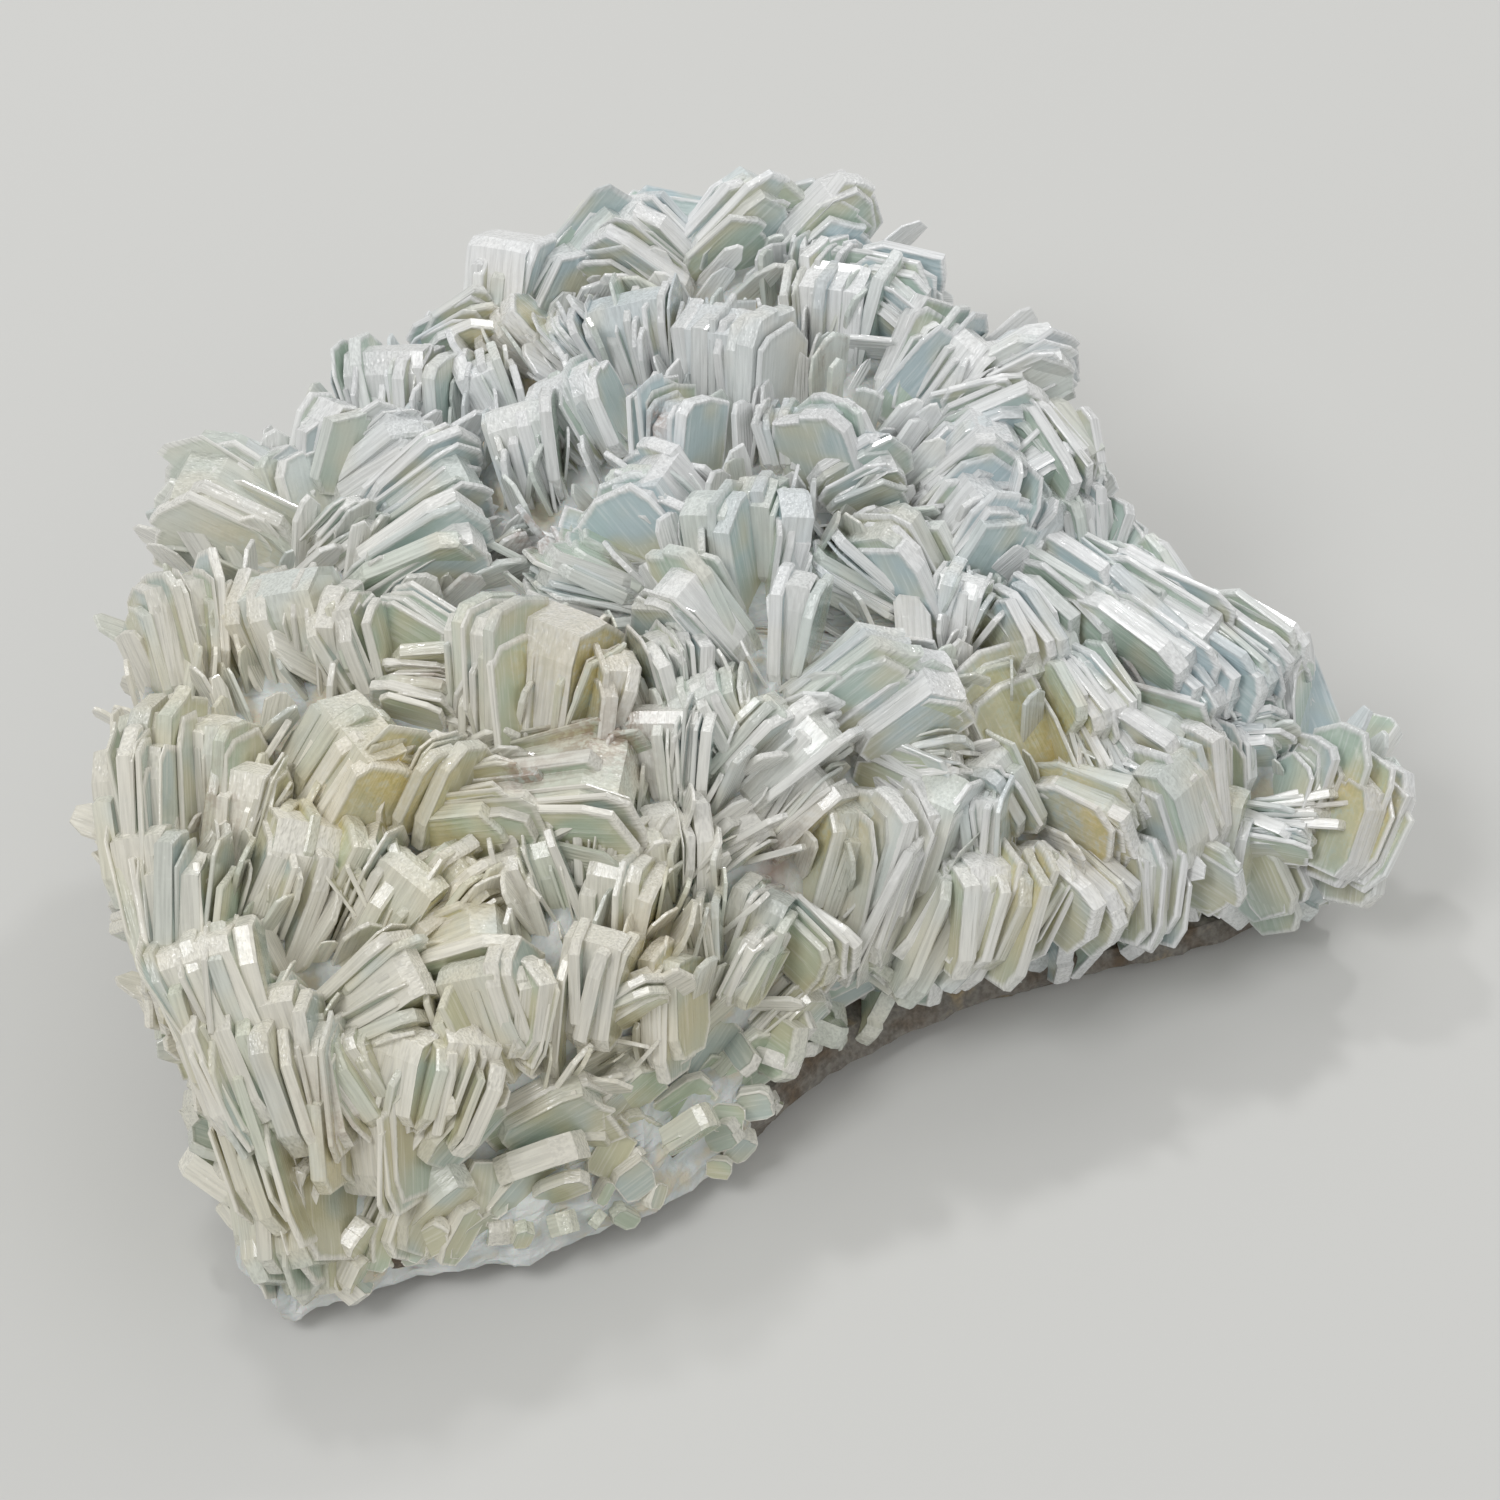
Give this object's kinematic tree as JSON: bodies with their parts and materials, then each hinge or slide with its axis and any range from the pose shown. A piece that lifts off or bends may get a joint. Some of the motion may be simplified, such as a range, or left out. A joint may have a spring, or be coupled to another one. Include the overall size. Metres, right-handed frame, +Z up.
{
  "type": "barite crystal cluster",
  "caption": "Plate-like cluster of thin tabular pale blue-green barite blades in fans and books, grown on a thin crust of vein rock with a flat underside.",
  "frame": {"origin": "centre of the bounding box in plan, on the plane of the flat underside", "axes": "+Z up, out of the flat underside; +X along the longest extent, towards the narrow right tip; +Y towards the tall far edge"},
  "size_m": [0.1216, 0.11, 0.0476],
  "materials": {
    "barite": "milky translucent cleavage faces with white frosted, finely striated rims",
    "vein_rock": "rough broken rock, cut flat underneath"
  },
  "bodies": {
    "root": {"barite_crystals": "barite", "matrix": "vein_rock"}
  },
  "joints": []
}
